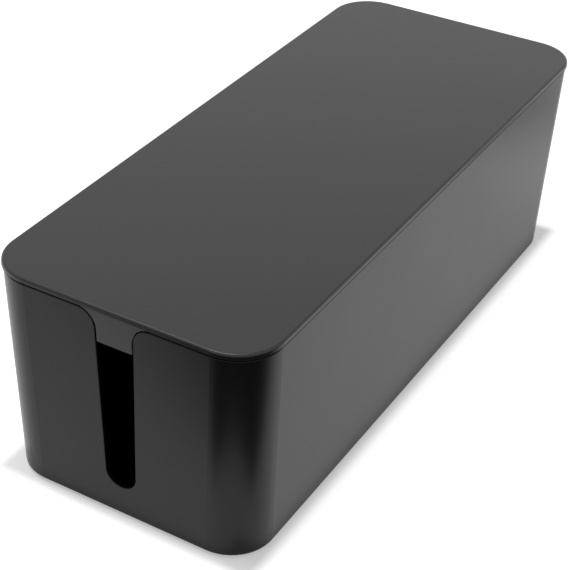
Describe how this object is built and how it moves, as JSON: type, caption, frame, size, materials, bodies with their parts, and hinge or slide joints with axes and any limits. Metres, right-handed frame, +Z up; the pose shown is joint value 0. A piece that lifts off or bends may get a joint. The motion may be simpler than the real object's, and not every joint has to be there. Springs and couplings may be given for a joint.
{
  "type": "cable management box",
  "caption": "Long black plastic box with rounded corners that hides a power strip: drafted tub, a cable slot in each end, lift-off lid with end tabs, rubber feet.",
  "frame": {"origin": "on the table, under the middle of the box", "axes": "+X along the box, from one cable slot to the other; +Y across it; +Z up, the way the lid lifts off"},
  "size_m": [0.4, 0.1626, 0.1335],
  "materials": {
    "black_plastic": "satin moulded black plastic with a very fine texture",
    "foot_rubber": "matt black rubber"
  },
  "bodies": {
    "box": {"tub": "black_plastic", "foot_front_left": "foot_rubber", "foot_front_right": "foot_rubber", "foot_back_left": "foot_rubber", "foot_back_right": "foot_rubber"},
    "cover": {"lid": "black_plastic"}
  },
  "joints": [
    {"name": "lid_lift", "type": "slide", "parent": "box", "child": "cover", "axis": [0, 0, 1], "range_m": [0, 0.16]}
  ]
}
